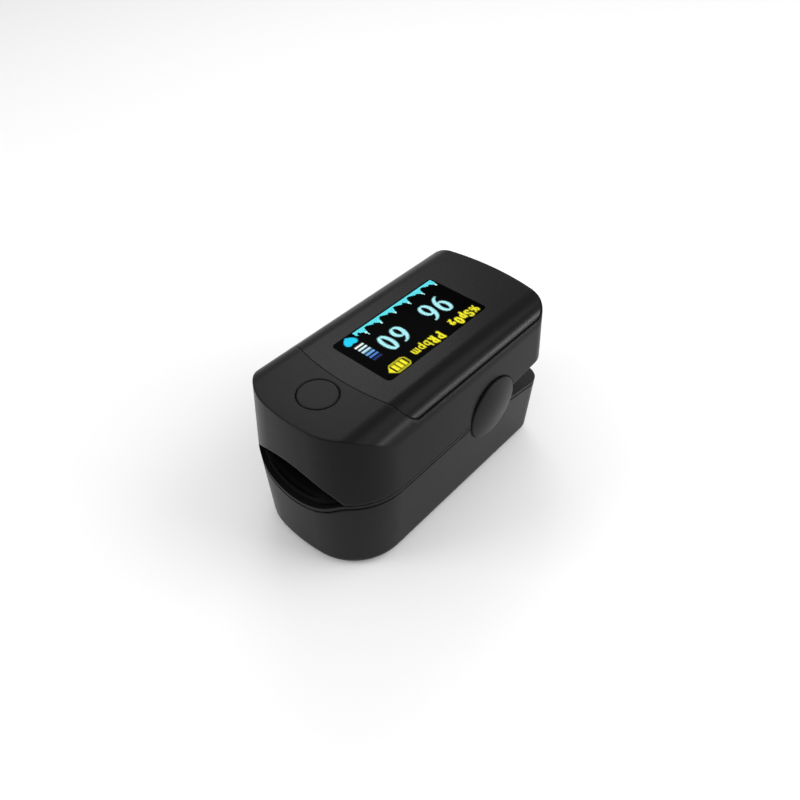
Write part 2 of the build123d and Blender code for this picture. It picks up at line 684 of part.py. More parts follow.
pieces = {
    "lower_shell": make_lower_shell(),
    "lower_frame": make_lower_frame(),
    "lower_pad": make_lower_pad(),
    "sensor_board": make_sensor_board(),
    "photodetector": make_photodetector(),
    "lower_sensor_window": make_sensor_window(sensor_board_z + 1.7, trough_z + pad_thickness - 0.1),
    "battery_holder": make_battery_holder(),
    "battery_cell_left": make_cell(-1, 1),
    "battery_cell_right": make_cell(1, -1),
    "battery_door": make_battery_door(),
    "hinge_cap_right": make_hinge_cap(),
    "hinge_cap_left": mirror(make_hinge_cap(), about=Plane.YZ),
    "hinge_pin_right": make_hinge_pin(),
    "hinge_pin_left": mirror(make_hinge_pin(), about=Plane.YZ),
    "ribbon_cable": make_ribbon(),
    "lower_screws": Compound(children=[make_screw(x, y, lower_seat_z) for x, y in lower_screws]),
    "upper_shell": make_upper_shell(),
    "display_cover": make_display_cover(),
    "display_lens": make_display_lens(),
    "oled_module": make_oled_module(),
    "display_holder": make_display_holder(),
    "display_ribbon": make_display_ribbon(),
    "main_board": make_main_board(),
    "controller_chip": make_chip(7, 1.4, 0, 4, board_top, 8),
    "analog_chip": make_chip(5, 1.0, 0, -6, board_top, 5),
    "tact_switch": make_tact_switch(),
    "switch_plunger": make_plunger(),
    "power_button": make_power_button(),
    "upper_frame": make_upper_frame(),
    "upper_pad": make_upper_pad(),
    "upper_sensor_window": make_sensor_window(emitter_z - 2.4, emitter_z - 0.6),
    "emitter_board": emitter_plate + emitter_pins,
    "emitter": box(-1.6, 1.6, sensor_y - 1.3, sensor_y + 1.3, emitter_z - 0.5, emitter_z + 0.1),
    "upper_screws": Compound(children=[make_screw(x, y, upper_seat(y)) for x, y in upper_screws]),
    "torsion_spring_right": Compound(children=make_torsion_spring()),
    "torsion_spring_left": Compound(children=[mirror(p, about=Plane.YZ) for p in make_torsion_spring()]),
    "contact_front_left": contact_plate(-1, -1),
    "contact_front_right": contact_plate(1, -1),
    "contact_bridge": contact_bridge(),
    "cell_spring_left": contact_coil(-1, 1),
    "cell_spring_right": contact_coil(1, -1),
}
for name, piece in pieces.items():
    save(name, piece)
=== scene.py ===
import json
import math
import bmesh
import bpy
from mathutils import Matrix, Vector


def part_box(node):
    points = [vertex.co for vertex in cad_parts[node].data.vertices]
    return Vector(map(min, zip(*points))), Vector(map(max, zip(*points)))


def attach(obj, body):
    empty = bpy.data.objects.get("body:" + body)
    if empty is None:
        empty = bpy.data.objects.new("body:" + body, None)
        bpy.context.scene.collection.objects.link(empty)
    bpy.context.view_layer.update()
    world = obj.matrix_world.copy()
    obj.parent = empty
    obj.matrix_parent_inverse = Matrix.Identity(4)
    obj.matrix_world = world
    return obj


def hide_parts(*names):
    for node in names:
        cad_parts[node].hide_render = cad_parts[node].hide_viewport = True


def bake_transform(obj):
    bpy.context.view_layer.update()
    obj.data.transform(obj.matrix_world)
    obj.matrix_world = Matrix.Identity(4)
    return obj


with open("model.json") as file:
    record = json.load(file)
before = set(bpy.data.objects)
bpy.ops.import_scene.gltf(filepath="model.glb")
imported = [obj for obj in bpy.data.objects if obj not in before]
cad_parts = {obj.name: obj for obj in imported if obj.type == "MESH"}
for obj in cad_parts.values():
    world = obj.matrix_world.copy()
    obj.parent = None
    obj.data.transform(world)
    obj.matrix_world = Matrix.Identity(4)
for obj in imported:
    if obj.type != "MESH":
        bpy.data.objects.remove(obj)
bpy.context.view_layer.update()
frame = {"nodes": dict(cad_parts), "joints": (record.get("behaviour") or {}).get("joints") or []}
nodes = frame["nodes"]
mm = 0.001
print("frame loaded:", len(nodes), "nodes")


# Tools: one class wraps a socket, one builds node trees, two more build materials and grown meshes

class Wire:
    def __init__(self, graph, socket):
        self.graph = graph
        self.socket = socket

    def maths(self, operation, *values):
        return self.graph.add("ShaderNodeMath", {"operation": operation}, dict(enumerate(values)))

    def __add__(self, other):
        return self.maths("ADD", self, other)

    def __radd__(self, other):
        return self.maths("ADD", other, self)

    def __sub__(self, other):
        return self.maths("SUBTRACT", self, other)

    def __rsub__(self, other):
        return self.maths("SUBTRACT", other, self)

    def __mul__(self, other):
        return self.maths("MULTIPLY", self, other)

    def __rmul__(self, other):
        return self.maths("MULTIPLY", other, self)

    def __gt__(self, other):
        return self.maths("GREATER_THAN", self, other)

    def __abs__(self):
        return self.maths("ABSOLUTE", self)

    def over(self, other):
        return self.maths("MAXIMUM", self, other)

    def wave(self):
        return self.maths("SINE", self)


class Graph:
    def __init__(self, tree):
        self.tree = tree

    def add(self, kind, settings=None, values=None, out=0):
        node = self.tree.nodes.new(kind)
        for name, value in (settings or {}).items():
            if name == "stops":
                self.setStops(node.color_ramp, value)
            else:
                setattr(node, name, value)
        for name, value in (values or {}).items():
            if isinstance(value, Wire):
                self.tree.links.new(value.socket, node.inputs[name])
            else:
                node.inputs[name].default_value = value
        return Wire(self, node.outputs[out])

    def setStops(self, ramp, stops):
        while len(ramp.elements) < len(stops):
            ramp.elements.new(0.5)
        for element, (place, tone) in zip(ramp.elements, stops):
            element.position = place
            element.color = tone


class Finish(Graph):  # a material: what is the same all over is set, what varies is fed
    def __init__(self, name, **fixed):
        self.material = bpy.data.materials.new(name)
        self.material.use_nodes = True
        super().__init__(self.material.node_tree)
        self.shader = self.tree.nodes["Principled BSDF"]
        for socket, value in fixed.items():
            self.shader.inputs[socket.replace("_", " ")].default_value = value
        self.place = self.add("ShaderNodeTexCoord", out="Object")

    def noise(self, scale, detail=2.0, place=None):
        values = {"Vector": place or self.place, "Scale": scale, "Detail": detail}
        return self.add("ShaderNodeTexNoise", None, values)

    def stretched(self, x, y, z):
        return self.add("ShaderNodeMapping", None, {"Vector": self.place, "Scale": (x, y, z)})

    def ramp(self, value, stops):
        return self.add("ShaderNodeValToRGB", {"stops": stops}, {"Fac": value})

    def mix(self, share, low, high):
        return self.add("ShaderNodeMix", {"data_type": "RGBA"}, {0: share, 6: low, 7: high}, out=2)

    def along(self, axis):
        return self.add("ShaderNodeSeparateXYZ", None, {0: self.place}, out="XYZ".index(axis))

    def feed(self, socket, wire):
        self.tree.links.new(wire.socket, self.shader.inputs[socket])

    def bump(self, height, depth, edge=0.0):
        values = {"Height": height, "Distance": depth, "Strength": 1.0}
        if edge:
            values["Normal"] = self.add("ShaderNodeBevel", {"samples": 4}, {"Radius": edge})
        self.feed("Normal", self.add("ShaderNodeBump", None, values))


class Growth(Graph):  # a Geometry Nodes tree with named inputs, ending in real geometry with a material
    def __init__(self, name, **inputs):
        super().__init__(bpy.data.node_groups.new(name, "GeometryNodeTree"))
        interface = self.tree.interface
        interface.new_socket("start", in_out="INPUT", socket_type="NodeSocketGeometry")
        interface.new_socket("result", in_out="OUTPUT", socket_type="NodeSocketGeometry")
        self.keys = {}
        for label, kind in dict(inputs, coat="Material").items():
            socket = interface.new_socket(label, in_out="INPUT", socket_type="NodeSocket" + kind)
            self.keys[label] = socket.identifier
        self.entry = self.tree.nodes.new("NodeGroupInput")

    def given(self, label):
        return Wire(self, self.entry.outputs[label])

    def end(self, geometry, smooth):
        whole = self.add("GeometryNodeRealizeInstances", None, {0: geometry})
        shaded = self.add("GeometryNodeSetShadeSmooth", None, {0: whole, "Shade Smooth": smooth})
        coated = self.add("GeometryNodeSetMaterial", None, {0: shaded, "Material": self.given("coat")})
        leave = self.tree.nodes.new("NodeGroupOutput")
        self.tree.links.new(coated.socket, leave.inputs[0])

    def grow(self, name, startMesh, **values):
        host = makePiece(name + "Host", startMesh)
        modifier = host.modifiers.new("grow", "NODES")
        modifier.node_group = self.tree
        for label, value in values.items():
            modifier[self.keys[label]] = value
        return plainCopy(name, host)


def makePiece(name, mesh):
    mesh.name = name
    piece = bpy.data.objects.new(name, mesh)
    bpy.context.collection.objects.link(piece)
    return piece


def plainCopy(name, host):  # the host's evaluated shape as a plain mesh, and the host goes away
    evaluated = host.evaluated_get(bpy.context.evaluated_depsgraph_get())
    mesh = bpy.data.meshes.new_from_object(evaluated)
    bpy.data.objects.remove(host)
    return makePiece(name, mesh)


def chainMesh(name, points):  # loose edges from point to point, for a tree to follow
    mesh = bpy.data.meshes.new(name)
    mesh.from_pydata(points, [(k, k + 1) for k in range(len(points) - 1)], [])
    return mesh


def fixPiece(piece, body, slot, *replaced):
    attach(piece, body)
    if replaced:
        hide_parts(*replaced)


def paintNodes(material, *names):
    for name in names:
        slots = nodes[name].data.materials
        if not slots:
            slots.append(material)
        for k in range(len(slots)):
            slots[k] = material


def middle(node):
    low, high = (Vector(corner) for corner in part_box(node))
    return (low + high) / 2


def gray(level):
    return (level, level, level * 1.02, 1)


def between(points, place):  # straight lines through (place, value) points
    for (a, low), (b, high) in zip(points, points[1:]):
        if place <= b:
            return low + (high - low) * (place - a) / (b - a)
    return points[-1][1]


# Camera, light and floor

studio = {
    "cameraPlace": (77.4, -88.25, 133.4),
    "cameraTarget": (0.33, -0.265, 19.68),
    "lens": 34.5,
    "sensor": 36,
    "clipStart": 5,
    "skyLight": 0.73,
    "softboxes": {           # place, size and power of each
        "keyLight": ((208, 160, 320), (300, 200), 0.36),
        "sideStrip": ((370, 248, 112), (300, 50), 0.95),
        "backPanel": ((0, 600, 130), (2000, 230), 1.0),
        "leftOverhead": ((-225, 202, 324), (160, 90), 0.21),
        "frontFill": ((-160, -240, 190), (130, 60), 0.26),
    },
    "floorReach": 3.0,
}


def aim(thing, place, target):
    thing.location = Vector(place) * mm
    look = Vector(target) - Vector(place)
    thing.rotation_euler = look.to_track_quat("-Z", "Y").to_euler()


def makeCamera():
    data = bpy.data.cameras.new("camera")
    data.lens = studio["lens"]
    data.sensor_width = studio["sensor"]
    data.clip_start = studio["clipStart"] * mm
    camera = bpy.data.objects.new("camera", data)
    bpy.context.collection.objects.link(camera)
    aim(camera, studio["cameraPlace"], studio["cameraTarget"])
    bpy.context.scene.camera = camera


def makeSoftbox(name, place, size, power):
    data = bpy.data.lights.new(name, "AREA")
    data.shape = "RECTANGLE"
    data.size = size[0] * mm
    data.size_y = size[1] * mm
    data.energy = power
    light = bpy.data.objects.new(name, data)
    bpy.context.collection.objects.link(light)
    aim(light, place, studio["cameraTarget"])


def makeFloor():
    mesh = bpy.data.meshes.new("floor")
    r = studio["floorReach"]
    mesh.from_pydata([(-r, -r, 0), (r, -r, 0), (r, r, 0), (-r, r, 0)], [], [(0, 1, 2, 3)])
    floor = makePiece("floor", mesh)
    paper = Finish("floorPaper", Roughness=0.9, IOR=1.3)
    paper.feed("Base Color", paper.mix(paper.noise(3), (0.90, 0.90, 0.90, 1), (0.92, 0.92, 0.92, 1)))
    mesh.materials.append(paper.material)


def makeSky():
    sky = bpy.data.worlds.new("sky")
    bpy.context.scene.world = sky
    sky.use_nodes = True
    background = sky.node_tree.nodes["Background"]
    background.inputs["Color"].default_value = (1, 1, 1, 1)
    background.inputs["Strength"].default_value = studio["skyLight"]


makeCamera()
for name, (place, size, power) in studio["softboxes"].items():
    makeSoftbox(name, place, size, power)
makeFloor()
makeSky()
bpy.context.scene.view_settings.view_transform = "Standard"
print("camera, light and floor done")


# Moulded plastics and rubber: fine spark-eroded grain, cloudy tone, edges that catch the light

def mouldedPlastic(name, tone, rough, grain, edge, size=5200, ior=1.20):
    coat = Finish(name, IOR=ior)
    cloud = coat.noise(70, 3)
    speck = coat.noise(size)
    coat.feed("Base Color", coat.mix(cloud, gray(tone * 0.85), gray(tone * 1.15)))
    coat.feed("Roughness", rough + (cloud - 0.5) * 0.08 + (speck - 0.5) * 0.12)
    coat.bump(speck, grain, edge)
    return coat.material


shellPlastic = mouldedPlastic("shellPlastic", 0.0036, 0.34, 0.000006, 0.00055)
coverPlastic = mouldedPlastic("coverPlastic", 0.0036, 0.27, 0.000004, 0.00020, 5200, 1.19)
framePlastic = mouldedPlastic("framePlastic", 0.0055, 0.44, 0.000006, 0.00012)
liningRubber = mouldedPlastic("liningRubber", 0.0022, 0.80, 0.000012, 0, 3600, 1.15)
whitePlastic = mouldedPlastic("whitePlastic", 0.62, 0.45, 0.000006, 0.00010)


def lensPlastic():  # smoked panel over the display, nearly black and glossy with faint wipe marks
    coat = Finish("lensPlastic", IOR=1.03)
    wipe = coat.noise(60, 4, coat.stretched(1, 3, 1))
    coat.feed("Base Color", coat.mix(wipe, gray(0.0006), gray(0.0012)))
    coat.feed("Roughness", 0.10 + wipe * 0.10)
    coat.bump(coat.noise(900), 0.0000008)
    return coat.material


paintNodes(shellPlastic, "lower_shell", "upper_shell", "battery_door", "power_button")
paintNodes(shellPlastic, "hinge_cap_left", "hinge_cap_right")
paintNodes(coverPlastic, "display_cover")
paintNodes(framePlastic, "lower_frame", "upper_frame", "battery_holder")
paintNodes(liningRubber, "lower_pad", "upper_pad")
paintNodes(whitePlastic, "display_holder", "switch_plunger")
paintNodes(lensPlastic(), "display_lens")
print("plastics done")


# Metals, boards, chips and optics

def bareMetal(name, tone, rough, scratch, x, y, z):  # drawn or rolled metal, scratches along one axis
    coat = Finish(name, Metallic=1.0)
    streak = coat.noise(900, 3, coat.stretched(x, y, z))
    cloud = coat.noise(300)
    coat.feed("Base Color", coat.mix(cloud, gray(tone * 0.82), gray(tone)))
    coat.feed("Roughness", rough + (streak - 0.5) * 0.20 + (cloud - 0.5) * 0.10)
    coat.bump(streak, scratch)
    return coat.material


def boardFinish():  # solder mask over fine copper tracks, with bare tinned pads
    coat = Finish("boardFinish", IOR=1.5)
    lengthwise = coat.noise(900, 0, coat.stretched(1, 0.08, 1)) > 0.56
    crosswise = coat.noise(900, 0, coat.stretched(0.08, 1, 1)) > 0.58
    track = lengthwise.over(crosswise)
    pad = coat.noise(700, 0) > 0.74
    mask = coat.mix(track, (0.004, 0.050, 0.022, 1), (0.010, 0.110, 0.045, 1))
    coat.feed("Base Color", coat.mix(pad, mask, (0.55, 0.55, 0.52, 1)))
    coat.feed("Metallic", pad)
    coat.feed("Roughness", 0.38 - track * 0.10 - pad * 0.05)
    coat.bump(track + pad, 0.00002)
    return coat.material


def chipFinish(name, node, leg):  # dark epoxy in the middle, tinned legs beyond it
    coat = Finish(name, IOR=1.5)
    low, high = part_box(node)
    centre = middle(node)
    across = abs(coat.along("X") - centre.x)
    along = abs(coat.along("Y") - centre.y)
    legs = across.over(along) > (high[0] - low[0]) / 2 - leg * mm
    speck = coat.noise(6000, 3)
    epoxy = coat.mix(speck, gray(0.010), gray(0.022))
    coat.feed("Base Color", coat.mix(legs, epoxy, (0.60, 0.60, 0.58, 1)))
    coat.feed("Metallic", legs)
    coat.feed("Roughness", 0.58 - legs * 0.25 + (speck - 0.5) * 0.1)
    coat.bump(speck, 0.000006)
    return coat.material


def cellFinish():  # printed jacket with a light band near the positive end, bare steel at both ends
    coat = Finish("cellFinish", IOR=1.5)
    low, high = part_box("battery_cell_left")
    place = abs(coat.along("Y") - middle("battery_cell_left").y)
    half = (high[1] - low[1]) / 2
    steel = place > half - 1.4 * mm
    band = (place > half - 9.0 * mm) * (1 - steel)
    scuff = coat.noise(400, 4)
    jacket = coat.mix(scuff, (0.010, 0.030, 0.110, 1), (0.014, 0.040, 0.140, 1))
    jacket = coat.mix(band, jacket, (0.45, 0.46, 0.47, 1))
    coat.feed("Base Color", coat.mix(steel, jacket, gray(0.60)))
    coat.feed("Metallic", steel.over(band * 0.6))
    coat.feed("Roughness", 0.30 + (scuff - 0.5) * 0.15)
    coat.bump(scuff, 0.000006)
    return coat.material


def switchFinish():  # tinned cover plate over a black moulded base
    coat = Finish("switchFinish", IOR=1.5)
    low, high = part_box("tact_switch")
    plate = coat.along("Z") > high[2] - 0.35 * mm
    speck = coat.noise(4000, 3)
    coat.feed("Base Color", coat.mix(plate, gray(0.015), gray(0.62)))
    coat.feed("Metallic", plate)
    coat.feed("Roughness", 0.42 - plate * 0.12 + (speck - 0.5) * 0.1)
    coat.bump(speck, 0.000006)
    return coat.material


def windowFinish():  # clear moulded window over the sensor
    coat = Finish("windowFinish", IOR=1.49, Transmission_Weight=0.8)
    haze = coat.noise(500, 3)
    coat.feed("Base Color", coat.mix(haze, (0.50, 0.50, 0.50, 1), (0.62, 0.60, 0.60, 1)))
    coat.feed("Roughness", 0.06 + haze * 0.10)
    coat.bump(haze, 0.000004)
    return coat.material


def emitterFinish():  # milky resin over two small dice
    coat = Finish("emitterFinish", IOR=1.5)
    dice = coat.add("ShaderNodeTexVoronoi", None, {"Vector": coat.place, "Scale": 700.0})
    share = coat.ramp(dice, [(0.25, gray(0)), (0.35, gray(1))])
    coat.feed("Base Color", coat.mix(share, (0.50, 0.12, 0.08, 1), (0.72, 0.69, 0.62, 1)))
    coat.feed("Roughness", 0.18 + dice * 0.1)
    coat.bump(dice, 0.00001)
    return coat.material


def displayGlass():  # dark glass of the display module
    coat = Finish("displayGlass", IOR=1.5)
    film = coat.noise(120, 3)
    coat.feed("Base Color", coat.mix(film, (0.004, 0.004, 0.006, 1), (0.010, 0.009, 0.014, 1)))
    coat.feed("Roughness", 0.08 + film * 0.06)
    coat.bump(film, 0.000002)
    return coat.material


def filmFinish(name, pitch):  # amber film with copper lines along its length
    coat = Finish(name, IOR=1.6)
    line = (coat.along("X") * (2 * math.pi / (pitch * mm))).wave() > 0.1
    grain = coat.noise(1500, 3)
    amber = coat.mix(grain, (0.30, 0.090, 0.010, 1), (0.40, 0.130, 0.016, 1))
    coat.feed("Base Color", coat.mix(line, amber, (0.52, 0.24, 0.07, 1)))
    coat.feed("Roughness", 0.34 - line * 0.08 + (grain - 0.5) * 0.1)
    coat.bump(line, 0.00003)
    return coat.material


flexFilm = filmFinish("flexFilm", 0.7)
springSteel = bareMetal("springSteel", 0.55, 0.30, 0.000004, 1, 1, 1)
pinSteel = bareMetal("pinSteel", 0.60, 0.26, 0.000004, 1, 12, 12)
nickel = bareMetal("nickel", 0.66, 0.32, 0.000004, 12, 1, 12)
screwSteel = bareMetal("screwSteel", 0.16, 0.38, 0.000006, 1, 1, 1)
paintNodes(boardFinish(), "main_board", "sensor_board", "emitter_board")
paintNodes(chipFinish("controllerEpoxy", "controller_chip", 0.75), "controller_chip")
paintNodes(chipFinish("analogEpoxy", "analog_chip", 0.75), "analog_chip")
paintNodes(chipFinish("detectorEpoxy", "photodetector", 0.2), "photodetector")
paintNodes(cellFinish(), "battery_cell_left", "battery_cell_right")
paintNodes(switchFinish(), "tact_switch")
paintNodes(windowFinish(), "upper_sensor_window", "lower_sensor_window")
paintNodes(emitterFinish(), "emitter")
paintNodes(displayGlass(), "oled_module")
paintNodes(flexFilm, "display_ribbon", "ribbon_cable")
paintNodes(pinSteel, "hinge_pin_left", "hinge_pin_right")
paintNodes(springSteel, "torsion_spring_left", "torsion_spring_right")
paintNodes(nickel, "contact_front_left", "contact_front_right", "contact_bridge")
paintNodes(nickel, "cell_spring_left", "cell_spring_right")
paintNodes(screwSteel, "lower_screws", "upper_screws")
print("metals, boards and optics done")


# Lit display: 128 x 64 cells, u runs along the screen's lines and v down them

screen = {
    "columns": 128,
    "rows": 64,
    "length": 29.42,
    "fill": 0.94,            # share of its cell that a lit square covers
    "lift": 0.006,
    "strength": 1.12,
    "flicker": 0.08,
    "yellow": (1.0, 0.92, 0.025),
    "cyan": (0.44, 0.95, 1.0),
    "boldPen": (0.72, 1.40),     # half widths of level and upright strokes
    "finePen": (0.68, 0.88),
    "readingPen": (0.85, 2.05),
    "penSwell": 1.5,
}
battery = {                  # outline, solid tip and three charge bars
    "area": (98, 122, 0, 14),
    "left": 98.2,
    "middle": 6.5,
    "half": 6.1,
    "line": 1.3,
    "tipFrom": 116,
    "tipSlope": 1.1,
    "solidFrom": 117,
    "cornerTo": 101,
    "cornerSlope": 0.9,
    "barsFrom": 101.6,
    "barsTo": 115.2,
    "barPitch": 4.9,
    "barWidth": 3.8,
    "barHalf": 4.2,
}
levelBars = {                # signal bars, brighter downwards
    "columns": (108, 118),
    "firstTop": 25.4,
    "pitch": 4.26,
    "edges": (0.2, 2.8),
    "reach": 4,
    "tones": [(0.01, 0.03, 0.16), (0.08, 0.22, 0.65), (0.15, 0.42, 0.85),
              (0.50, 0.82, 1.0), (0.75, 0.93, 1.0), (0.90, 1.0, 1.0)],
}
heart = {
    "area": (106, 122, 52, 64),
    "middle": (114, 59.2),
    "half": (6.0, 5.0),
    "tone": (0.013, 0.66, 0.96),
}
pulse = {                    # trace of the beats, filled down to the last row
    "start": 2.0,
    "pitch": 18.7,
    "end": 105,
    "beat": [(0, 11.5), (0.10, 6.5), (0.22, 4.4), (0.40, 4.6),
             (0.62, 2.4), (0.80, 2.0), (0.90, 5.0), (1.0, 11.5)],
    "lastFrom": 99.5,
    "lastPeak": 103.8,
    "lastHeight": 7,
    "lastSlope": 2.2,
    "lastLeast": 2.6,
    "tipRow": 57,
    "tipDepth": 5,
    "low": (0.12, 0.80, 0.90),
    "tip": (0.55, 0.98, 1.0),
}


def arc(centreU, centreV, radiusU, radiusV, first, last):
    steps = 16
    turns = [math.radians(first + (last - first) * k / steps) for k in range(steps + 1)]
    return [(centreU + radiusU * math.cos(t), centreV + radiusV * math.sin(t)) for t in turns]


# Pen strokes of each sign in a square of side 1, v downwards
signs = {
    "0": [arc(0.5, 0.5, 0.5, 0.5, 0, 360)],
    "6": [arc(0.5, 0.68, 0.5, 0.32, 0, 360), arc(1.0, 0.68, 1.0, 0.68, 180, 268)],
    "9": [arc(0.5, 0.32, 0.5, 0.32, 0, 360), arc(0.0, 0.32, 1.0, 0.68, 0, 88)],
    "%": [arc(0.2, 0.25, 0.2, 0.25, 0, 360), arc(0.8, 0.75, 0.2, 0.25, 0, 360), [(0.9, 0), (0.1, 1)]],
    "S": [arc(0.5, 0.25, 0.5, 0.25, -20, -270), arc(0.5, 0.75, 0.5, 0.25, -90, 160)],
    "O": [arc(0.5, 0.5, 0.5, 0.5, 0, 360)],
    "2": [arc(0.5, 0.28, 0.5, 0.28, -170, 40), [(0.88, 0.46), (0, 1)], [(0, 1), (1, 1)]],
    "P": [[(0.2, 0), (0.2, 1)], arc(0.4, 0.27, 0.6, 0.27, -90, 90), [(0, 0), (0.5, 0)],
          [(0.2, 0.54), (0.5, 0.54)], [(0, 1), (0.45, 1)]],
    "R": [[(0.2, 0), (0.2, 1)], arc(0.4, 0.25, 0.5, 0.25, -90, 90), [(0, 0), (0.5, 0)],
          [(0.2, 0.5), (0.5, 0.5)], [(0.5, 0.5), (0.95, 1)], [(0, 1), (0.42, 1)]],
    "b": [[(0, 0), (0, 1)], arc(0.5, 0.66, 0.5, 0.34, 0, 360)],
    "p": [[(0, 0), (0, 1)], arc(0.5, 0.34, 0.5, 0.34, 0, 360)],
    "m": [[(0, 0), (0, 1)], arc(0.25, 0.4, 0.25, 0.4, -180, 0), arc(0.75, 0.4, 0.25, 0.4, -180, 0),
          [(0.5, 0.4), (0.5, 1)], [(1, 0.4), (1, 1)]],
}

# Sign, first and last column, first and last row, pen and tone
writing = [
    ("%", 4.0, 11.6, 1.6, 11.0, "finePen", "yellow"),
    ("S", 12.4, 19.0, 0.6, 11.2, "boldPen", "yellow"),
    ("p", 19.6, 25.4, 4.0, 13.2, "boldPen", "yellow"),
    ("O", 26.0, 32.8, 0.8, 11.2, "boldPen", "yellow"),
    ("2", 33.6, 39.2, 5.4, 13.2, "boldPen", "yellow"),
    ("P", 52.8, 60.2, 0.8, 11.0, "boldPen", "yellow"),
    ("R", 60.8, 68.2, 0.8, 11.0, "boldPen", "yellow"),
    ("b", 69.4, 74.8, 1.4, 11.0, "finePen", "yellow"),
    ("p", 76.0, 81.6, 4.4, 13.2, "finePen", "yellow"),
    ("m", 82.8, 90.0, 4.4, 11.0, "finePen", "yellow"),
    ("9", 15.2, 28.4, 21.2, 44.6, "readingPen", "cyan"),
    ("6", 31.2, 44.6, 21.2, 44.6, "readingPen", "cyan"),
    ("6", 70.8, 84.0, 22.2, 43.4, "readingPen", "cyan"),
    ("0", 87.2, 99.6, 22.2, 43.4, "readingPen", "cyan"),
]


def strokeGap(u, v, a, b):  # distance from a cell's middle to a straight stroke
    spanU, spanV = b[0] - a[0], b[1] - a[1]
    share = ((u - a[0]) * spanU + (v - a[1]) * spanV) / max(spanU**2 + spanV**2, 1e-9)
    share = min(1, max(0, share))
    return math.hypot(u - a[0] - share * spanU, v - a[1] - share * spanV)


def lightCell(lit, cell, share, tone):  # a cell keeps the largest share of itself that a shape covers
    if share > lit.get(cell, (0, None))[0]:
        lit[cell] = (min(share, 1), tone)


def writeSign(lit, sign, u0, u1, v0, v1, pen, tone):
    thin, thick = screen[pen]
    left, right, top, bottom = u0 + thick, u1 - thick, v0 + thin, v1 - thin
    for stroke in signs[sign]:
        points = [(left + (right - left) * a, top + (bottom - top) * b) for a, b in stroke]
        for a, b in zip(points, points[1:]):
            upright = abs(b[1] - a[1]) / max(math.dist(a, b), 1e-9)
            reach = thin + (thick - thin) * upright**screen["penSwell"]
            edge = reach + 0.5
            for column in range(int(min(a[0], b[0]) - edge), int(max(a[0], b[0]) + edge) + 1):
                for row in range(int(min(a[1], b[1]) - edge), int(max(a[1], b[1]) + edge) + 1):
                    share = edge - strokeGap(column + 0.5, row + 0.5, a, b)
                    lightCell(lit, (column, row), share, screen[tone])


def fillCells(lit, area, inside, tone):
    u0, u1, v0, v1 = area
    steps = (1 / 6, 3 / 6, 5 / 6)
    for column in range(u0, u1):
        for row in range(v0, v1):
            share = sum(inside(column + a, row + b) for a in steps for b in steps) / len(steps)**2
            lightCell(lit, (column, row), share, tone)


def drawBattery(lit):
    def hull(u, v, shrink):
        tip = max(0, u - battery["tipFrom"]) * battery["tipSlope"]
        corner = max(0, battery["cornerTo"] - u) * battery["cornerSlope"]
        half = battery["half"] - shrink - tip - corner
        return u > battery["left"] + shrink and abs(v - battery["middle"]) < half

    def bar(u, v):
        across = abs(v - battery["middle"]) < battery["barHalf"]
        place = (u - battery["barsFrom"]) % battery["barPitch"]
        return across and battery["barsFrom"] < u < battery["barsTo"] and place < battery["barWidth"]

    def inside(u, v):
        whole = hull(u, v, 0)
        return whole and (not hull(u, v, battery["line"]) or u > battery["solidFrom"]) or bar(u, v)

    fillCells(lit, battery["area"], inside, screen["yellow"])


def drawBars(lit):
    upper, lower = levelBars["edges"]
    for k, tone in enumerate(levelBars["tones"]):
        top = levelBars["firstTop"] + levelBars["pitch"] * k
        area = (*levelBars["columns"], int(top), int(top) + levelBars["reach"])
        fillCells(lit, area, lambda u, v: upper < v - top < lower, tone)


def drawHeart(lit):
    (middleU, middleV), (halfU, halfV) = heart["middle"], heart["half"]

    def inside(u, v):
        x, y = (u - middleU) / halfU, (middleV - v) / halfV
        return (x * x + y * y - 1)**3 - x * x * y**3 < 0

    fillCells(lit, heart["area"], inside, heart["tone"])


def drawPulse(lit):
    def level(u):
        if u > pulse["lastFrom"]:
            fall = abs(u - pulse["lastPeak"]) * pulse["lastSlope"]
            return max(pulse["lastLeast"], pulse["lastHeight"] - fall)
        phase = (u - pulse["start"]) / pulse["pitch"]
        return between(pulse["beat"], phase - math.floor(phase))

    for column in range(pulse["end"]):
        height = level(column + 0.5)
        for row in range(int(round(screen["rows"] - height)), screen["rows"]):
            tip = row < pulse["tipRow"] and screen["rows"] - row > height - pulse["tipDepth"]
            lightCell(lit, (column, row), 1, pulse["tip"] if tip else pulse["low"])


def pixelTree():
    tree = Growth("pixelTree", pixelSize="Float")
    size = tree.given("pixelSize")
    values = {"Size X": size, "Size Y": size, "Vertices X": 2, "Vertices Y": 2}
    square = tree.add("GeometryNodeMeshGrid", None, values)
    spread = {"Points": tree.given("start"), "Instance": square}
    tree.end(tree.add("GeometryNodeInstanceOnPoints", None, spread), False)
    return tree


def litPixel():
    coat = Finish("litPixel", IOR=1.1, Emission_Strength=screen["strength"])
    tone = coat.add("ShaderNodeAttribute", {"attribute_name": "tone"})
    flicker = coat.noise(4000, 0)
    coat.feed("Emission Color", coat.mix(flicker * screen["flicker"], tone, (0, 0, 0, 1)))
    coat.feed("Roughness", 0.35 + flicker * 0.1)
    coat.feed("Base Color", coat.mix(flicker, gray(0.001), gray(0.002)))
    return coat.material


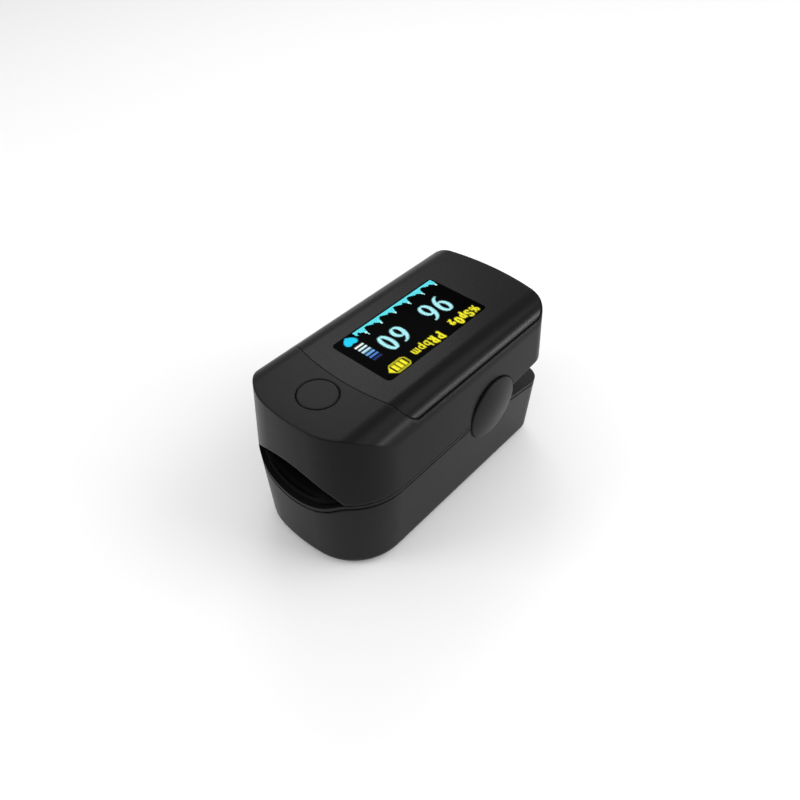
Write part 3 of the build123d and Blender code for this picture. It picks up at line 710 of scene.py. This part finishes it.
def makePicture():
    lit = {}
    for sign in writing:
        writeSign(lit, *sign)
    drawBattery(lit)
    drawBars(lit)
    drawHeart(lit)
    drawPulse(lit)
    low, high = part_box("display_lens")
    centre = middle("display_lens")
    pitch = screen["length"] / screen["columns"] * mm
    places = []
    for column, row in lit:
        x = centre.x + (screen["rows"] / 2 - row - 0.5) * pitch
        y = centre.y + (screen["columns"] / 2 - column - 0.5) * pitch
        places.append((x, y, high[2] + screen["lift"] * mm))
    mesh = bpy.data.meshes.new("pixelPlaces")
    mesh.from_pydata(places, [], [])
    tones = mesh.attributes.new("tone", "FLOAT_COLOR", "POINT")
    for k, (share, tone) in enumerate(lit.values()):
        tones.data[k].color = (*(share**2 * level for level in tone), 1)
    side = pitch * screen["fill"]
    picture = pixelTree().grow("displayPicture", mesh, pixelSize=side, coat=litPixel())
    fixPiece(picture, "upper_half", "display_glass")
    print("display lit,", len(lit), "cells")


makePicture()


# Silicone linings: the CAD linings' own shape, softened, with grooves across the finger

lining = {
    "merge": 0.01,
    "voxel": 0.30,
    "smoothing": 4,
    "groovePitch": 3.0,
    "grooveDepth": 0.30,
    "grooveSharpness": 10,
    "leastFacing": 0.4,
    "plainNearWindow": 4.3,
}


def mouldLining(name, node, body, facing):
    host = makePiece(name + "Host", nodes[node].data.copy())
    weld = host.modifiers.new("weld", "WELD")
    weld.merge_threshold = lining["merge"] * mm
    remesh = host.modifiers.new("remesh", "REMESH")
    remesh.mode = "VOXEL"
    remesh.voxel_size = lining["voxel"] * mm
    remesh.use_smooth_shade = True
    soften = host.modifiers.new("soften", "SMOOTH")
    soften.iterations = lining["smoothing"]
    piece = plainCopy(name, host)
    windowY = middle("photodetector").y
    for vertex in piece.data.vertices:
        if vertex.normal.z * facing < lining["leastFacing"]:
            continue
        away = vertex.co.y - windowY
        fade = min(1, max(0, abs(away) / mm - lining["plainNearWindow"]))
        wave = abs(math.cos(math.pi * away / (lining["groovePitch"] * mm)))
        groove = wave**lining["grooveSharpness"]
        vertex.co.z -= facing * fade * groove * lining["grooveDepth"] * mm
    piece.data.materials.clear()
    piece.data.materials.append(liningRubber)
    fixPiece(piece, body, "silicone", node)


mouldLining("lowerLining", "lower_pad", "lower_half", 1)
mouldLining("upperLining", "upper_pad", "upper_half", -1)
print("linings done")


# Torsion springs: one wire each, lower leg, coil and upper leg

spring = {
    "wire": 0.6,
    "radius": 1.95,
    "turns": 3.5,
    "stepsPerTurn": 24,
    "sides": 12,
}


def wireTree():
    tree = Growth("wireTree", wireRadius="Float", sides="Int")
    path = tree.add("GeometryNodeMeshToCurve", None, {"Mesh": tree.given("start")})
    ring = {"Resolution": tree.given("sides"), "Radius": tree.given("wireRadius")}
    profile = tree.add("GeometryNodeCurvePrimitiveCircle", None, ring)
    sweep = {"Curve": path, "Profile Curve": profile, "Fill Caps": True}
    tree.end(tree.add("GeometryNodeCurveToMesh", None, sweep), True)
    return tree


def makeTorsionSpring(tree, name, node):
    low, high = (Vector(corner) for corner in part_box(node))
    side = 1 if high.x > 0 else -1
    half = spring["wire"] / 2 * mm
    innerX = min(abs(low.x), abs(high.x)) + half
    outerX = max(abs(low.x), abs(high.x)) - half
    radius = spring["radius"] * mm
    points = [(side * innerX, high.y, hingeAxis.z - radius)]
    steps = int(spring["turns"] * spring["stepsPerTurn"])
    for k in range(steps + 1):
        turn = -math.pi / 2 - 2 * math.pi * spring["turns"] * k / steps
        x = side * (innerX + (outerX - innerX) * k / steps)
        points.append((x, hingeAxis.y + radius * math.cos(turn), hingeAxis.z + radius * math.sin(turn)))
    points.append((side * outerX, high.y, hingeAxis.z + radius))
    piece = tree.grow(name, chainMesh(name, points), wireRadius=half, sides=spring["sides"],
                     coat=springSteel)
    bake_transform(piece)
    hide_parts(node)


jawHinge = next(joint for joint in frame["joints"] if joint["name"] == "jaw_hinge")
hingeAxis = Vector(jawHinge["pos_m"])
wires = wireTree()
makeTorsionSpring(wires, "torsionWireLeft", "torsion_spring_left")
makeTorsionSpring(wires, "torsionWireRight", "torsion_spring_right")
print("springs done")


# Flexible film between the two boards: raised copper lines, a rounded climb from one board to the other

flex = {
    "thickness": 0.25,
    "lineCount": 8,
    "columnsPerLine": 4,
    "lineRise": 0.04,
    "climbFrom": -0.5,       # the film climbs between these two, from the middle of its box
    "climbTo": 0.3,
    "bend": 1.5,
    "arcSteps": 6,
    "stillEnd": 3.0,         # height at each end next to its board
}


def roundedPath(corners, radius):  # points of a path whose inner corners are arcs of one radius
    path = [Vector(corners[0])]
    for before, corner, after in zip(corners, corners[1:], corners[2:]):
        corner = Vector(corner)
        back = (Vector(before) - corner).normalized()
        ahead = (Vector(after) - corner).normalized()
        half = back.angle(ahead) / 2
        centre = corner + (back + ahead).normalized() * radius / math.sin(half)
        first = corner + back * radius / math.tan(half) - centre
        turn = (math.pi - 2 * half) * (1 if back.cross(ahead) < 0 else -1)
        for k in range(flex["arcSteps"] + 1):
            path.append(centre + Matrix.Rotation(turn * k / flex["arcSteps"], 2) @ first)
    return path + [Vector(corners[-1])]


def makeFlex():
    low, high = (Vector(corner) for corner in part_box("ribbon_cable"))
    thickness = flex["thickness"] * mm
    rise = flex["lineRise"] * mm
    climbY = middle("ribbon_cable").y
    bottom, top = low.z + thickness / 2, high.z - thickness / 2
    corners = [(low.y, bottom), (climbY + flex["climbFrom"] * mm, bottom),
               (climbY + flex["climbTo"] * mm, top), (high.y, top)]
    path = roundedPath(corners, flex["bend"] * mm)
    columns = flex["lineCount"] * flex["columnsPerLine"]
    mesh = bmesh.new()
    sheets = []
    for face in (1, -1):
        rows = []
        for k, point in enumerate(path):
            ahead = (path[min(k + 1, len(path) - 1)] - path[max(k - 1, 0)]).normalized()
            normal = Vector((-ahead.y, ahead.x)) * face
            row = []
            for c in range(columns + 1):
                bead = rise * math.sin(math.pi * c / flex["columnsPerLine"])**2
                place = point + normal * (thickness / 2 - rise + bead)
                row.append(mesh.verts.new((low.x + (high.x - low.x) * c / columns, place.x, place.y)))
            rows.append(row)
        sheets.append(rows)
    upper, under = sheets
    for rows in sheets:
        for rowA, rowB in zip(rows, rows[1:]):
            for c in range(columns):
                mesh.faces.new((rowA[c], rowA[c + 1], rowB[c + 1], rowB[c]))
    rims = [[row[0] for row in upper], [row[-1] for row in upper], upper[0], upper[-1]]
    facing = [[row[0] for row in under], [row[-1] for row in under], under[0], under[-1]]
    for rim, other in zip(rims, facing):
        for k in range(len(rim) - 1):
            mesh.faces.new((rim[k], rim[k + 1], other[k + 1], other[k]))
    bmesh.ops.recalc_face_normals(mesh, faces=mesh.faces)
    film = bpy.data.meshes.new("flexCable")
    mesh.to_mesh(film)
    mesh.free()
    piece = makePiece("flexCable", film)
    film.materials.append(flexFilm)
    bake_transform(piece)
    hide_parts("ribbon_cable")


makeFlex()
print("flexible film done")


# Small parts soldered to the boards: a ceramic body between two tinned caps

smallPart = {
    "length": 1.0,
    "width": 0.5,
    "height": 0.38,
    "capShare": 0.24,
    "bodyShare": 0.92,
    "mainAcross": (-8.2, -6.4, 6.4, 8.2),
    "mainAlong": range(-14, 13, 3),
    "mainSeed": 3,
    "sensorAcross": (-3.6, 3.6),
    "sensorAlong": (-3, 0, 3),
    "sensorSeed": 5,
}


def smallPartTree():
    tree = Growth("smallPartTree", partLength="Float", partWidth="Float", partHeight="Float",
                  capShare="Float", seed="Int", capCoat="Material")
    length, width, height = (tree.given(label) for label in ("partLength", "partWidth", "partHeight"))

    def block(x, y, z, shift, coat):
        size = tree.add("ShaderNodeCombineXYZ", None, {0: x, 1: y, 2: z})
        shape = tree.add("GeometryNodeMeshCube", None, {"Size": size})
        place = tree.add("ShaderNodeCombineXYZ", None, {0: shift, 2: z * 0.5})
        moved = tree.add("GeometryNodeTransform", None, {"Geometry": shape, "Translation": place})
        return tree.add("GeometryNodeSetMaterial", None, {0: moved, "Material": coat})

    cap = length * tree.given("capShare")
    share = smallPart["bodyShare"]
    body = block(length - cap, width * share, height * share, length * 0, tree.given("coat"))
    capCoat = tree.given("capCoat")
    caps = [block(cap, width, height, (length - cap) * side, capCoat) for side in (-0.5, 0.5)]
    joined = tree.tree.nodes.new("GeometryNodeJoinGeometry")
    for shape in [body] + caps:
        tree.tree.links.new(shape.socket, joined.inputs[0])
    quarter = tree.add("FunctionNodeRandomValue", {"data_type": "INT"},
                       {4: 0, 5: 1, "Seed": tree.given("seed")}, out=2)
    turn = tree.add("ShaderNodeCombineXYZ", None, {2: quarter * (math.pi / 2)})
    part = Wire(tree, joined.outputs[0])
    spread = {"Points": tree.given("start"), "Instance": part, "Rotation": turn}
    placed = tree.add("GeometryNodeInstanceOnPoints", None, spread)
    whole = tree.add("GeometryNodeRealizeInstances", None, {0: placed})
    leave = tree.tree.nodes.new("NodeGroupOutput")
    tree.tree.links.new(whole.socket, leave.inputs[0])
    return tree


def boardPlaces(board, centreY, top):
    across, along = smallPart[board + "Across"], smallPart[board + "Along"]
    return [(x * mm, centreY + y * mm, top) for x in across for y in along]


def makeSmallParts(name, body, places, seed):
    mesh = bpy.data.meshes.new(name)
    mesh.from_pydata(places, [], [])
    sizes = {"part" + label.title(): smallPart[label] * mm for label in ("length", "width", "height")}
    piece = parts.grow(name, mesh, capShare=smallPart["capShare"], seed=seed,
                       coat=ceramic, capCoat=nickel, **sizes)
    fixPiece(piece, body, "board")


ceramic = mouldedPlastic("ceramic", 0.045, 0.5, 0.000004, 0, 5200, 1.5)
parts = smallPartTree()
places = boardPlaces("main", middle("controller_chip").y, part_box("main_board")[1][2])
makeSmallParts("mainBoardParts", "upper_half", places, smallPart["mainSeed"])
places = boardPlaces("sensor", middle("photodetector").y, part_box("photodetector")[0][2])
makeSmallParts("sensorBoardParts", "lower_half", places, smallPart["sensorSeed"])
print("small parts done")
